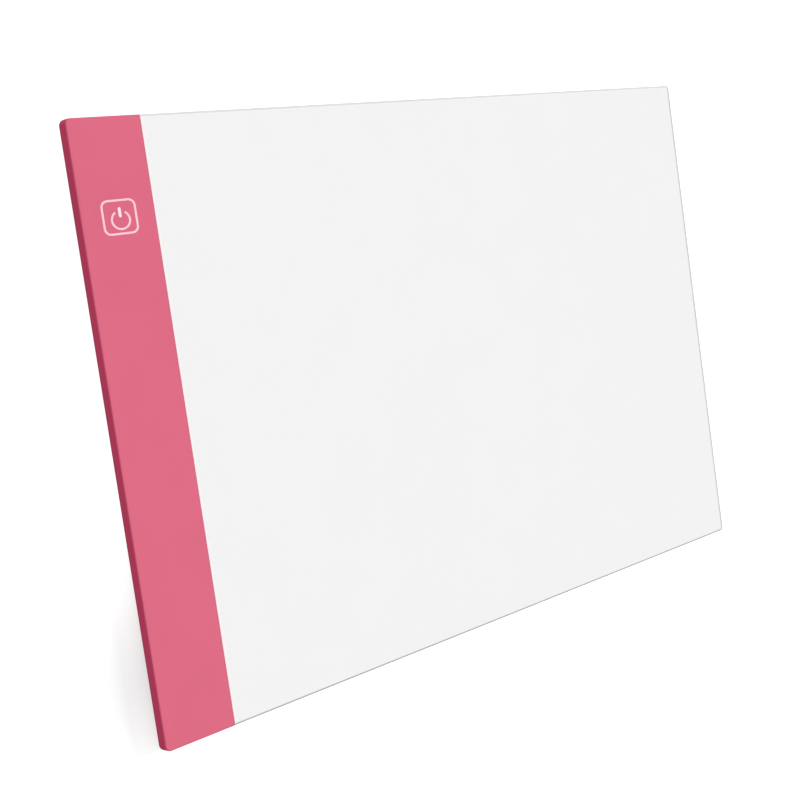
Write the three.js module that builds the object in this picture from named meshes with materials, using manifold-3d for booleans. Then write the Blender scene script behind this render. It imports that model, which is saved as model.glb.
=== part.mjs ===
// A thin edge-lit tracing pad, in millimetres. It lies on its feet with the light surface up.
// X runs along the pad away from the control strip, Y runs up the page, Z comes out of the light surface.
// The origin is the centre of the footprint, on the plane that the feet stand on.

import * as THREE from "three";
import { mergeVertices } from "three/addons/utils/BufferGeometryUtils.js";
import Module from "manifold-3d";

const wasm = await Module();
wasm.setup();

// Outline of the pad
const padLength = 235;
const padDepth = 150;
const cornerRadius = 1.2;
const leastRadius = 0.3; // where an inset leaves less of the corner than this
const stripWidth = 20.9;
const seamGap = 0.1; // between the strip cover and the front plate
const frontEdgeRadius = 0.3;
const backEdgeRadius = 1.1;

// Sheets from the back to the light surface
const floorThickness = 0.7;
const reflectorThickness = 0.2;
const guideThickness = 1.5;
const diffuserThickness = 0.2;
const plateThickness = 0.8;
const layerGap = 0.025;

// Back shell
const frameWall = 1.2; // round the sheets
const guideClearance = 0.3; // from the sheets to the frame wall
const lipWall = 0.8; // low wall inside the strip cover
const lipGap = 0.1; // from the top of a low wall to the strip cover
const lapGap = 0.1; // between overlapping walls
const ribThickness = 0.6;
const wireNotchMargin = 0.5;

// Strip cover
const coverWall = 1.2;
const tongueLength = 2.4; // of the plate's edge that tucks under the cover
const tongueShare = 0.5; // of the plate's thickness
const tongueGap = 0.05;
const coverRibCount = 6;
const coverRibDepth = 0.8;
const coverRibMargin = 6; // from the ends of the free stretch to the outer ribs
const electrodeWall = 0.5;
const electrodeWallDepth = 0.6;

// Snap beads on the cover, and the windows that they click into
const beadLength = 6;
const beadReach = 0.5;
const beadHeight = 0.6;
const beadTipShare = 0.4; // of the bead's height, square at its tip above the lead-in slope
const windowMargin = 0.3;
const sideBeadShares = [-0.62, -0.1, 0.68]; // of half the pad's depth
const endBeadShare = 0.5; // of the strip's width

// Front plate
const plateEdgeRun = 0.7; // eased edge round the light surface
const plateEdgeDrop = 0.3;
const tapeThickness = 0.1;
const tapeInset = 0.25; // from the outline to the tape
const tapeMargin = 0.1; // from the tape to the inside of the frame wall

// Light guide
const guideTuck = 2.8; // how far the guide runs under the strip cover
const guideCorner = 0.5;
const earLength = 6;
const earReach = 0.7;
const earFromGuideEnd = 14;

// Light bar
const ledCount = 24;
const ledLength = 4;
const ledHeight = 1.4;
const ledDepth = 0.8;
const ledGap = 0.1; // from the lamps to the guide
const ledEndMargin = 4;
const windowRim = 0.25; // round the lamp's window
const windowDepth = 0.15;
const ledBoardThickness = 0.6;
const ledBoardSlack = 0.06; // above and below the board

// Feet
const footDiameter = 9;
const footProud = 1;
const footRecess = 0.2;
const footInset = 15;
const footFit = 0.15;
const footEdge = 0.35;
const footCup = 0.2; // hollow in the middle of the sole
const footRing = 1.6; // width of the sole's flat ring

// Control board
const boardThickness = 0.8;
const boardLength = 60;
const boardClearance = 0.25;
const boardLift = 0.2; // height of the pads that carry it
const partHeight = 0.9; // tallest part on it
const partClearance = 0.1;
const boardCorner = 0.6;

// Heat stakes that hold the control board
const stakeDiameter = 1.4;
const stakeFit = 0.1;
const stakePadDiameter = 3.2;
const stakeHeadDiameter = 2.4;
const stakeHeadHeight = 0.5;
const stakeHeadGap = 0.05;
const stakeInset = 2.2;
const stakeSocketGap = 3; // from the socket's back to the upper stakes

// Touch key, on the strip's centre line
const keyFromTop = 23.4;
const electrodeMargin = 0.6; // from the electrode to the board's edge
const electrodeFit = 0.1;

// Power socket, a micro USB type B receptacle
const socketWidth = 7.5;
const socketHeight = 2.4;
const socketLength = 5.4;
const socketWall = 0.3;
const socketBevelRun = 1.05;
const socketBevelRise = 0.95;
const socketRadius = 0.3;
const socketBendShare = 0.5; // of a wall, that the section's bevels and rounds lose inwards
const mouthRecess = 0.5;
const socketFit = 0.15; // to the board and the housing round it
const portGap = 0.1; // above and below the socket
const portCorner = 0.5;
const socketTabLength = 1.1;
const socketTabReach = 1.05;
const socketTabThickness = 0.3;
const socketTabInset = 0.6;
const socketTabSpacing = 1.6;
const tongueFit = 0.04;
const socketBlockDepth = 1.3;
const socketTongueWidth = 3.9;
const socketTongueThickness = 0.6;
const socketTongueSetback = 0.7;
const socketTongueLift = 0.15; // above the middle of the socket
const contactCount = 5;
const contactPitch = 0.65;
const contactWidth = 0.3;
const contactThickness = 0.12;
const contactSetback = 0.3;

// Parts on the control board
const chipLength = 2.9;
const chipWidth = 1.6;
const chipEdge = 0.12;
const leadWidth = 0.4;
const leadThickness = 0.15;
const leadReach = 0.6;
const leadFoot = 0.35;
const leadPitch = 0.95;
const leadRiseShare = 0.5; // of the chip's height
const capacitorLength = 3.2;
const capacitorWidth = 1.6;
const resistorLength = 2;
const resistorWidth = 1.25;
const resistorHeight = 0.5;
const resistorCount = 3;
const terminalLength = 0.4;
const terminalProud = 0.04;
const partSpacing = 5.2;
const driverRow = 1; // rows of parts, counted down from the touch chip
const capacitorRow = 2;
const resistorRow = 3;
const resistorSpacing = 2.6;
const resistorOffset = 2.4; // from the row's centre line
const firstPartGap = 4; // from the key's electrode to the chip below it

// Leads from the control board to the light bar
const wireDiameter = 0.75;
const wirePitch = 1.3; // in the rib's notch
const wirePadPitch = 3; // on the control board
const wireFromBoardEnd = 9;
const wireSetback = 3.4; // from the board's edge to the leads' ends
const wireGap = 0.05;
const wireStraightShare = 0.6; // of the setback, where the lead starts to turn

// Drawing values
const overrun = 1; // how far cutting tools pass the faces that they cut
const sink = 0.1; // how far joined solids run into each other
const cornerSteps = 6;
const edgeSteps = 5;
const roundSteps = 32;
const stakeSteps = 18;
const wireSides = 8;
const wireSteps = 14;
const mergeTolerance = 1e-4;

// Heights
const backFace = footProud;
const floorTop = backFace + floorThickness;
const reflectorLow = floorTop + layerGap;
const guideLow = reflectorLow + reflectorThickness + layerGap;
const guideMiddle = guideLow + guideThickness / 2;
const diffuserLow = guideLow + guideThickness + layerGap;
const plateLow = diffuserLow + diffuserThickness + layerGap;
const faceTop = plateLow + plateThickness;
const frameTop = plateLow - tapeThickness;
const boardLow = floorTop + boardLift;
const boardTop = boardLow + boardThickness;
const coverUnder = Math.max(plateLow, boardTop + partHeight + partClearance);
const lipTop = coverUnder - lipGap;
const tongueTop = plateLow + plateThickness * tongueShare;
const socketMiddle = (floorTop + coverUnder) / 2;
const socketLow = socketMiddle - socketHeight / 2;
const socketHigh = socketMiddle + socketHeight / 2;

// The back edge's radius leaves a flat on the cover's wall for the seam, and stays within the corners
const backEdge = Math.min(backEdgeRadius, coverWall - lapGap, cornerRadius - lapGap);

// Places along X and Y
const halfLength = padLength / 2;
const halfDepth = padDepth / 2;
const coverRight = -halfLength + stripWidth;
const plateLeft = coverRight + seamGap;
const guideLeft = coverRight - guideTuck;
const guideRight = halfLength - frameWall - guideClearance;
const guideHalf = halfDepth - frameWall - guideClearance;
const ledFront = guideLeft - ledGap;
const ledBack = ledFront - ledDepth;
const ledBoardLeft = ledBack - ledBoardThickness;
const ribRight = ledBoardLeft - tapeThickness;
const ribLeft = ribRight - ribThickness;
const lipOuter = coverWall + lapGap; // inset from the outline
const lipInner = lipOuter + lipWall;
const boardLeft = -halfLength + lipInner + boardClearance;
const boardRight = ribLeft - boardClearance;
const boardTopEnd = halfDepth - lipInner - boardClearance;
const boardLowEnd = boardTopEnd - boardLength;
const socketX = (boardLeft + boardRight) / 2;
const mouthY = halfDepth - mouthRecess;
const socketBack = mouthY - socketLength;
const keyX = -halfLength + stripWidth / 2;
const keyY = halfDepth - keyFromTop;
const electrodeHalf = boardRight - electrodeMargin - keyX;
const wireY = boardLowEnd + wireFromBoardEnd;
const wireZ = boardTop + wireDiameter / 2 + wireGap;
const endBeadX = -halfLength + stripWidth * endBeadShare;

// Looks
const pinkShell = new THREE.MeshStandardMaterial({ color: 0xdd6f86, roughness: 0.45, metalness: 0 });
const whiteShell = new THREE.MeshStandardMaterial({ color: 0xeeeeec, roughness: 0.55, metalness: 0 });
const opalAcrylic = new THREE.MeshStandardMaterial({ color: 0xf3f3f3, roughness: 0.35, metalness: 0 });
const clearAcrylic = new THREE.MeshStandardMaterial({ color: 0xe4eef0, roughness: 0.1, metalness: 0 });
const whiteFilm = new THREE.MeshStandardMaterial({ color: 0xfafafa, roughness: 0.4, metalness: 0 });
const rubber = new THREE.MeshStandardMaterial({ color: 0x8f9294, roughness: 0.85, metalness: 0 });
const adhesive = new THREE.MeshStandardMaterial({ color: 0xdedbd0, roughness: 0.7, metalness: 0 });
const whiteBoard = new THREE.MeshStandardMaterial({ color: 0xf4f4ef, roughness: 0.5, metalness: 0 });
const greenBoard = new THREE.MeshStandardMaterial({ color: 0x1f6b3c, roughness: 0.5, metalness: 0 });
const lampWhite = new THREE.MeshStandardMaterial({ color: 0xf2e8b8, roughness: 0.4, metalness: 0 });
const blackPlastic = new THREE.MeshStandardMaterial({ color: 0x1c1c1e, roughness: 0.5, metalness: 0 });
const steel = new THREE.MeshStandardMaterial({ color: 0xb9bcc0, roughness: 0.3, metalness: 1 });
const gold = new THREE.MeshStandardMaterial({ color: 0xd8b25a, roughness: 0.3, metalness: 1 });
const greyFoam = new THREE.MeshStandardMaterial({ color: 0x5a5c60, roughness: 0.95, metalness: 0 });
const ceramic = new THREE.MeshStandardMaterial({ color: 0xb58a5e, roughness: 0.6, metalness: 0 });
const redLead = new THREE.MeshStandardMaterial({ color: 0xb42a2a, roughness: 0.5, metalness: 0 });
const blackLead = new THREE.MeshStandardMaterial({ color: 0x202022, roughness: 0.5, metalness: 0 });

// A closed geometry as a solid that can be cut and joined
function solidOf(geometry) {
  const source = geometry.index ? geometry.toNonIndexed() : geometry;
  const bare = new THREE.BufferGeometry().setAttribute("position", source.getAttribute("position"));
  const merged = mergeVertices(bare, mergeTolerance);
  return new wasm.Manifold(
    new wasm.Mesh({
      numProp: 3,
      vertProperties: merged.attributes.position.array,
      triVerts: new Uint32Array(merged.index.array),
    }),
  );
}

// A cut or joined solid as a geometry with flat faces
function geometryOf(solid) {
  const mesh = solid.getMesh();
  const indexed = new THREE.BufferGeometry()
    .setAttribute("position", new THREE.BufferAttribute(new Float32Array(mesh.vertProperties), 3))
    .setIndex(new THREE.BufferAttribute(new Uint32Array(mesh.triVerts), 1));
  const flat = indexed.toNonIndexed();
  flat.computeVertexNormals();
  return flat;
}

// A block between two corners
function blockGeometry(x0, x1, y0, y1, z0, z1) {
  const box = new THREE.BoxGeometry(x1 - x0, y1 - y0, z1 - z0);
  return box.translate((x0 + x1) / 2, (y0 + y1) / 2, (z0 + z1) / 2);
}

function block(x0, x1, y0, y1, z0, z1) {
  return solidOf(blockGeometry(x0, x1, y0, y1, z0, z1));
}

// A rectangle with round corners, drawn anticlockwise
function roundRectangle(x0, x1, y0, y1, radius) {
  const quarter = Math.PI / 2;
  const shape = new THREE.Shape();
  shape.moveTo(x0 + radius, y0);
  shape.absarc(x1 - radius, y0 + radius, radius, -quarter, 0);
  shape.absarc(x1 - radius, y1 - radius, radius, 0, quarter);
  shape.absarc(x0 + radius, y1 - radius, radius, quarter, 2 * quarter);
  shape.absarc(x0 + radius, y0 + radius, radius, 2 * quarter, 3 * quarter);
  shape.closePath();
  return shape;
}

// The pad's outline, moved inwards
function padOutline(inset) {
  const x = halfLength - inset;
  const y = halfDepth - inset;
  return roundRectangle(-x, x, -y, y, Math.max(cornerRadius - inset, leastRadius));
}

// A shape pulled up from one height to another
function prismGeometry(shape, low, high) {
  return new THREE.ExtrudeGeometry(shape, {
    depth: high - low,
    bevelEnabled: false,
    curveSegments: cornerSteps,
  }).translate(0, 0, low);
}

function prism(shape, low, high) {
  return solidOf(prismGeometry(shape, low, high));
}

// The pad's outline pulled up, with its lower and upper edges rounded alike, or eased over a wider run
function edgedSlab(low, high, drop, run = drop) {
  const geometry = new THREE.ExtrudeGeometry(padOutline(0), {
    depth: high - low - 2 * drop,
    bevelEnabled: true,
    bevelThickness: drop,
    bevelSize: run,
    bevelOffset: -run,
    bevelSegments: edgeSteps,
    curveSegments: cornerSteps,
  });
  return solidOf(geometry.translate(0, 0, low + drop));
}

// The housing's outside, with its own radius on the back and on the front edge
function outerBody() {
  const roundedAbove = edgedSlab(backFace - frontEdgeRadius - overrun, faceTop, frontEdgeRadius);
  const roundedBelow = edgedSlab(backFace, faceTop + backEdge + overrun, backEdge);
  return roundedAbove.intersect(roundedBelow);
}

// A block over the pad's whole depth and height, for splitting a body at a line
function slice(x0, x1) {
  return block(x0, x1, -padDepth, padDepth, -padDepth, padDepth);
}

// A profile of radius and height turned about an upright axis
function turned(points, steps) {
  const profile = points.map(([radius, height]) => new THREE.Vector2(radius, height));
  return new THREE.LatheGeometry(profile, steps).rotateX(Math.PI / 2);
}

// The four feet's centres
function footPlaces() {
  const x = halfLength - footInset;
  const y = halfDepth - footInset;
  return [[-x, -y], [x, -y], [x, y], [-x, y]];
}

// The four heat stakes' centres
function stakePlaces() {
  const places = [];
  for (const x of [boardLeft + stakeInset, boardRight - stakeInset]) {
    for (const y of [boardLowEnd + stakeInset, socketBack - stakeSocketGap]) {
      places.push([x, y]);
    }
  }
  return places;
}

// Where the snap beads sit on the cover's inner face, and the turn that points each inwards
function beadPlaces() {
  const left = -halfLength + coverWall;
  const side = sideBeadShares.map((share) => ({ x: left, y: halfDepth * share, degrees: 0 }));
  const end = { x: endBeadX, y: -halfDepth + coverWall, degrees: 90 };
  return [...side, end];
}

function atBead(solid, place) {
  return solid.rotate([0, 0, place.degrees]).translate([place.x, place.y, 0]);
}

// Back shell: floor, frame wall, low wall inside the cover, light-bar rib and heat stakes

function heatStake() {
  const pad = stakePadDiameter / 2;
  const pin = stakeDiameter / 2;
  const head = stakeHeadDiameter / 2;
  const headLow = boardTop + stakeHeadGap;
  const dome = [];
  for (let i = 0; i < edgeSteps; i += 1) {
    const angle = (i / edgeSteps) * (Math.PI / 2);
    dome.push([head * Math.cos(angle), headLow + stakeHeadHeight * Math.sin(angle)]);
  }
  dome.push([0, headLow + stakeHeadHeight]);
  const sunk = floorTop - sink;
  const profile = [[0, sunk], [pad, sunk], [pad, boardLow], [pin, boardLow], [pin, headLow], ...dome];
  return solidOf(turned(profile, stakeSteps));
}

function lipRing() {
  const ring = prism(padOutline(lipOuter), backFace, lipTop).subtract(
    prism(padOutline(lipInner), floorTop, lipTop + overrun),
  );
  return ring.intersect(slice(-padLength, ribRight));
}

function beadWindow() {
  const halfWindow = beadLength / 2 + windowMargin;
  const low = socketMiddle - beadHeight / 2 - windowMargin;
  const high = socketMiddle + beadHeight / 2 + windowMargin;
  return block(0, lipInner - coverWall + sink, -halfWindow, halfWindow, low, high);
}

// The opening round the socket in the housing, out through the end face, with round upper corners
function portSpace(low, high, fromY, side) {
  const half = socketWidth / 2 + side;
  const depth = halfDepth + overrun - fromY;
  const shape = new THREE.Shape();
  shape.moveTo(-half, low);
  shape.lineTo(half, low);
  shape.lineTo(half, high - portCorner);
  shape.absarc(half - portCorner, high - portCorner, portCorner, 0, Math.PI / 2);
  shape.absarc(-half + portCorner, high - portCorner, portCorner, Math.PI / 2, Math.PI);
  shape.closePath();
  const geometry = prismGeometry(shape, -depth, 0);
  return solidOf(geometry.rotateX(Math.PI / 2).translate(socketX, fromY, 0));
}

// The piece of floor that closes the cover's notch under the socket
function portSill() {
  const half = socketWidth / 2 + socketFit;
  const y = halfDepth - lipInner;
  return block(socketX - half, socketX + half, y, padDepth, backFace, floorTop).intersect(outerBody());
}

function wireNotch(x0, x1) {
  const half = wirePitch / 2 + wireDiameter / 2 + wireNotchMargin;
  return block(x0, x1, wireY - half, wireY + half, boardTop, coverUnder + overrun);
}

function earSpace(clearance) {
  const reach = guideHalf + earReach + clearance;
  const middle = guideLeft + earFromGuideEnd;
  const half = earLength / 2 + clearance;
  return block(middle - half, middle + half, -reach, reach, guideLow - layerGap, frameTop + overrun);
}

// The frame round the sheets, on its floor
function sheetTray() {
  const body = outerBody()
    .intersect(block(plateLeft, padLength, -padDepth, padDepth, 0, frameTop));
  const corner = Math.max(cornerRadius - frameWall, leastRadius);
  const y = halfDepth - frameWall;
  const inside = roundRectangle(-halfLength, halfLength - frameWall, -y, y, corner);
  const earSpaces = earSpace(guideClearance).intersect(slice(plateLeft, padLength));
  return body.subtract(prism(inside, floorTop, faceTop)).subtract(earSpaces);
}

// The floor, low wall and light-bar rib inside the strip cover
function stripTray() {
  const y = halfDepth - lipInner + sink;
  const rib = block(ribLeft, ribRight, -y, y, floorTop - sink, lipTop);
  return prism(padOutline(lipOuter), backFace, floorTop)
    .intersect(slice(-padLength, plateLeft + sink))
    .add(lipRing())
    .add(portSill())
    .add(rib.subtract(wireNotch(ribLeft - overrun, ribRight + overrun)));
}

function footRecesses() {
  const radius = footDiameter / 2 + footFit;
  const depth = footRecess + overrun;
  const recess = new THREE.CylinderGeometry(radius, radius, depth, roundSteps)
    .rotateX(Math.PI / 2)
    .translate(0, 0, backFace + footRecess - depth / 2);
  return footPlaces().map(([x, y]) => solidOf(recess.clone().translate(x, y, 0)));
}

function makeBackShell() {
  let shell = sheetTray().add(stripTray());
  for (const [x, y] of stakePlaces()) {
    shell = shell.add(heatStake().translate([x, y, 0]));
  }
  for (const place of beadPlaces()) {
    shell = shell.subtract(atBead(beadWindow(), place));
  }
  const back = socketBack - socketFit;
  shell = shell.subtract(portSpace(socketLow - portGap, coverUnder + overrun, back, socketFit));
  for (const recess of footRecesses()) {
    shell = shell.subtract(recess);
  }
  return geometryOf(shell);
}

// Strip cover: top, outer walls, snap beads, ribs and the walls that place the electrode

function snapBead() {
  const half = beadHeight / 2;
  const shape = new THREE.Shape();
  shape.moveTo(-sink, -half);
  shape.lineTo(beadReach, half - beadHeight * beadTipShare);
  shape.lineTo(beadReach, half);
  shape.lineTo(-sink, half);
  shape.closePath();
  const geometry = new THREE.ExtrudeGeometry(shape, { depth: beadLength, bevelEnabled: false });
  return solidOf(geometry.rotateX(Math.PI / 2).translate(0, beadLength / 2, socketMiddle));
}

function coverRibs() {
  const low = -halfDepth + lipInner + coverRibMargin;
  const high = boardLowEnd - coverRibMargin;
  const ribs = [];
  for (let i = 0; i < coverRibCount; i += 1) {
    const y = low + ((high - low) * i) / (coverRibCount - 1);
    ribs.push(block(
      -halfLength + lipInner + lapGap, ribLeft - lapGap,
      y - ribThickness / 2, y + ribThickness / 2,
      coverUnder - coverRibDepth, coverUnder + sink,
    ));
  }
  return ribs;
}

function electrodeWalls() {
  const inner = electrodeHalf + electrodeFit;
  const outer = inner + electrodeWall;
  const low = coverUnder - electrodeWallDepth;
  return block(keyX - outer, keyX + outer, keyY - outer, keyY + outer, low, coverUnder + sink)
    .subtract(block(keyX - inner, keyX + inner, keyY - inner, keyY + inner, low - overrun, coverUnder));
}

function makeStripCover() {
  let cover = outerBody().intersect(slice(-padLength, coverRight));
  cover = cover.subtract(prism(padOutline(coverWall), backFace - overrun, coverUnder));
  cover = cover.subtract(block(
    plateLeft - tongueLength - lapGap, coverRight + overrun,
    -halfDepth + coverWall, halfDepth - coverWall,
    floorTop, tongueTop + tongueGap,
  ));
  for (const place of beadPlaces()) {
    cover = cover.add(atBead(snapBead(), place));
  }
  for (const rib of coverRibs()) {
    cover = cover.add(rib);
  }
  cover = cover.add(electrodeWalls());
  const back = socketBack - socketFit;
  return geometryOf(cover.subtract(portSpace(-overrun, socketHigh + portGap, back, socketFit + lapGap)));
}

// Front plate, with a thin tongue along its left edge that tucks under the cover
function makeFrontPlate() {
  const sheet = edgedSlab(plateLow - plateEdgeDrop - overrun, faceTop, plateEdgeDrop, plateEdgeRun);
  const half = halfDepth - coverWall - lapGap;
  const tongue = block(plateLeft - tongueLength, plateLeft + sink, -half, half, plateLow, tongueTop);
  const kept = block(plateLeft, padLength, -padDepth, padDepth, plateLow, padLength);
  return geometryOf(sheet.intersect(kept).add(tongue));
}

// Double-sided tape on the frame wall, open towards the strip
function makeFrontTape() {
  const ring = prism(padOutline(tapeInset), frameTop, plateLow)
    .subtract(prism(padOutline(frameWall - tapeMargin), frameTop - overrun, plateLow + overrun))
    .intersect(slice(plateLeft + tapeMargin, padLength));
  const ears = earSpace(guideClearance + tapeMargin);
  return geometryOf(ring.subtract(ears));
}

// The outline that the films and the light guide share
function sheetShape() {
  return roundRectangle(guideLeft, guideRight, -guideHalf, guideHalf, guideCorner);
}

function makeLightGuide() {
  const sheet = prism(sheetShape(), guideLow, guideLow + guideThickness);
  const ears = earSpace(0).intersect(prism(padOutline(0), guideLow, guideLow + guideThickness));
  return geometryOf(sheet.add(ears));
}

// Light bar

function makeLedBoardTape() {
  const tape = block(
    ribRight, ledBoardLeft,
    -guideHalf + tapeMargin, guideHalf - tapeMargin,
    floorTop + ledBoardSlack + tapeMargin, lipTop - tapeMargin,
  );
  return geometryOf(tape.subtract(wireNotch(ribRight - overrun, ledBoardLeft + overrun)));
}

// One lamp, with its back face on the board and its window sunk into the front
function lampGeometry() {
  const body = block(0, ledDepth, -ledLength / 2, ledLength / 2, -ledHeight / 2, ledHeight / 2);
  const y = ledLength / 2 - windowRim;
  const z = ledHeight / 2 - windowRim;
  return geometryOf(body.subtract(block(ledDepth - windowDepth, ledDepth + overrun, -y, y, -z, z)));
}

// Feet
function footGeometry() {
  const radius = footDiameter / 2;
  const high = footProud + footRecess;
  const profile = [[0, footCup], [radius - footEdge - footRing, footCup]];
  profile.push([radius - footEdge - footRing + footCup, 0], [radius - footEdge, 0]);
  for (let i = 1; i <= edgeSteps; i += 1) {
    const angle = (i / edgeSteps) * (Math.PI / 2);
    profile.push([radius - footEdge * (1 - Math.sin(angle)), footEdge * (1 - Math.cos(angle))]);
  }
  profile.push([radius, high], [0, high]);
  return turned(profile, roundSteps);
}

// Control board, with a notch for the socket and a hole for each stake
function makeControlBoard() {
  const outline = roundRectangle(boardLeft, boardRight, boardLowEnd, boardTopEnd, boardCorner);
  let board = prism(outline, boardLow, boardTop);
  const half = socketWidth / 2 + socketFit;
  board = board.subtract(block(
    socketX - half, socketX + half,
    socketBack - socketFit, boardTopEnd + overrun,
    boardLow - overrun, boardTop + overrun,
  ));
  const radius = stakeDiameter / 2 + stakeFit;
  for (const [x, y] of stakePlaces()) {
    const hole = new THREE.CylinderGeometry(radius, radius, boardThickness + 2 * overrun, stakeSteps);
    board = board.subtract(solidOf(hole.rotateX(Math.PI / 2).translate(x, y, (boardLow + boardTop) / 2)));
  }
  return geometryOf(board);
}

// The socket's section, wide side up, moved inwards for the wall and the fit
function socketSection(inset) {
  const half = socketWidth / 2 - inset;
  const low = -socketHeight / 2 + inset;
  const high = socketHeight / 2 - inset;
  const loss = inset * socketBendShare;
  const bevelRise = socketBevelRise - loss;
  const bevelRun = socketBevelRun - loss;
  const round = Math.max(socketRadius - loss, socketRadius * socketBendShare);
  const shape = new THREE.Shape();
  shape.moveTo(-half + bevelRun, low);
  shape.lineTo(half - bevelRun, low);
  shape.lineTo(half, low + bevelRise);
  shape.absarc(half - round, high - round, round, 0, Math.PI / 2);
  shape.absarc(-half + round, high - round, round, Math.PI / 2, Math.PI);
  shape.lineTo(-half, low + bevelRise);
  shape.closePath();
  return shape;
}

// The section from one distance behind the mouth to another
function socketRun(inset, fromMouth, toMouth) {
  const geometry = prismGeometry(socketSection(inset), fromMouth, toMouth);
  return solidOf(geometry.rotateX(Math.PI / 2));
}

function makeSocketShell() {
  const bore = socketRun(socketWall, -overrun, socketLength + overrun);
  let shell = socketRun(0, 0, socketLength).subtract(bore);
  const tabLow = boardTop - socketMiddle;
  const reach = socketWidth / 2 + socketTabReach;
  for (const side of [-1, 1]) {
    for (let i = 0; i < 2; i += 1) {
      const back = -socketLength + socketTabInset + i * socketTabSpacing;
      const ends = [side * reach, side * (socketWidth / 2 - socketWall / 2)].sort((a, b) => a - b);
      shell = shell.add(block(...ends, back, back + socketTabLength, tabLow, tabLow + socketTabThickness));
    }
  }
  return geometryOf(shell);
}

function makeSocketInsulator() {
  const rear = socketRun(socketWall + tongueFit, socketLength - socketBlockDepth, socketLength);
  const tongue = block(
    -socketTongueWidth / 2, socketTongueWidth / 2,
    -socketLength + socketBlockDepth / 2, -socketTongueSetback,
    socketTongueLift - socketTongueThickness / 2, socketTongueLift + socketTongueThickness / 2,
  );
  return geometryOf(rear.add(tongue));
}

function contactGeometry() {
  const length = socketLength - socketBlockDepth - socketTongueSetback - contactSetback;
  return new THREE.BoxGeometry(contactWidth, length, contactThickness);
}

// A moulded chip standing on bent leads, on the plane z = 0
function chipGeometry(leadsPerSide) {
  const standoff = leadThickness;
  let chip = solidOf(new THREE.ExtrudeGeometry(
    roundRectangle(-chipWidth / 2, chipWidth / 2, -chipLength / 2, chipLength / 2, chipEdge),
    {
      depth: partHeight - standoff - 2 * chipEdge,
      bevelEnabled: true,
      bevelThickness: chipEdge,
      bevelSize: chipEdge,
      bevelOffset: -chipEdge,
      bevelSegments: 1,
      curveSegments: 1,
    },
  ).translate(0, 0, standoff + chipEdge));
  const rise = partHeight * leadRiseShare;
  const inner = chipWidth / 2 - chipEdge;
  const outer = chipWidth / 2 + leadReach;
  for (const side of [-1, 1]) {
    for (let i = 0; i < leadsPerSide; i += 1) {
      const y = (i - (leadsPerSide - 1) / 2) * leadPitch;
      const lead = new THREE.Shape();
      lead.moveTo(inner, rise);
      lead.lineTo(outer - leadFoot - leadThickness, rise);
      lead.lineTo(outer - leadFoot - leadThickness, 0);
      lead.lineTo(outer, 0);
      lead.lineTo(outer, leadThickness);
      lead.lineTo(outer - leadFoot, leadThickness);
      lead.lineTo(outer - leadFoot, rise + leadThickness);
      lead.lineTo(inner, rise + leadThickness);
      lead.closePath();
      const geometry = new THREE.ExtrudeGeometry(lead, { depth: leadWidth, bevelEnabled: false });
      const bar = solidOf(geometry.rotateX(Math.PI / 2).translate(0, leadWidth / 2, 0));
      chip = chip.add(bar.rotate([0, 0, side > 0 ? 0 : 180]).translate([0, side * y, 0]));
    }
  }
  return geometryOf(chip);
}

// A two-ended chip part lying along X on the plane z = 0
function passiveGeometry(length, width, height) {
  const inner = length / 2 - terminalLength;
  const body = block(-inner - terminalProud, inner + terminalProud,
    -width / 2 + terminalProud, width / 2 - terminalProud, terminalProud, height - terminalProud);
  const left = block(-length / 2, -inner, -width / 2, width / 2, 0, height);
  const right = block(inner, length / 2, -width / 2, width / 2, 0, height);
  return geometryOf(body.add(left).add(right));
}

// An insulated lead from the control board, through the rib's notch, to the back of the light bar
function leadGeometry(side) {
  const padY = wireY + (side * wirePadPitch) / 2;
  const notchY = wireY + (side * wirePitch) / 2;
  const points = [
    [boardRight - wireSetback, padY, wireZ],
    [boardRight - wireSetback * wireStraightShare, padY, wireZ],
    [boardRight, notchY, wireZ],
    [ribLeft, notchY, wireZ],
    [ribRight, notchY, wireZ],
    [ledBoardLeft - wireGap, notchY, wireZ],
  ].map((p) => new THREE.Vector3(...p));
  const section = new THREE.Shape();
  for (let i = 0; i < wireSides; i += 1) {
    const angle = (2 * Math.PI * i) / wireSides;
    const x = (wireDiameter / 2) * Math.cos(angle);
    const z = (wireDiameter / 2) * Math.sin(angle);
    if (i === 0) {
      section.moveTo(x, z);
    } else {
      section.lineTo(x, z);
    }
  }
  section.closePath();
  return new THREE.ExtrudeGeometry(section, {
    steps: wireSteps,
    extrudePath: new THREE.CatmullRomCurve3(points),
  });
}

// Assembly

const pad = new THREE.Group();

function piece(parent, name, geometry, material, x = 0, y = 0, z = 0) {
  const mesh = new THREE.Mesh(geometry, material);
  mesh.name = name;
  mesh.position.set(x, y, z);
  parent.add(mesh);
  return mesh;
}

const housing = new THREE.Group();
pad.add(housing);
piece(housing, "back_shell", makeBackShell(), whiteShell);
piece(housing, "strip_cover", makeStripCover(), pinkShell);
piece(housing, "front_plate", makeFrontPlate(), opalAcrylic);
piece(housing, "front_tape", makeFrontTape(), adhesive);
const foot = footGeometry();
footPlaces().forEach(([x, y], i) => {
  piece(housing, `foot_${i + 1}`, foot, rubber, x, y);
});

const sheets = new THREE.Group();
pad.add(sheets);
const reflector = prismGeometry(sheetShape(), reflectorLow, reflectorLow + reflectorThickness);
piece(sheets, "reflector_sheet", reflector, whiteFilm);
piece(sheets, "light_guide", makeLightGuide(), clearAcrylic);
const diffuser = prismGeometry(sheetShape(), diffuserLow, diffuserLow + diffuserThickness);
piece(sheets, "diffuser_sheet", diffuser, whiteFilm);

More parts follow.
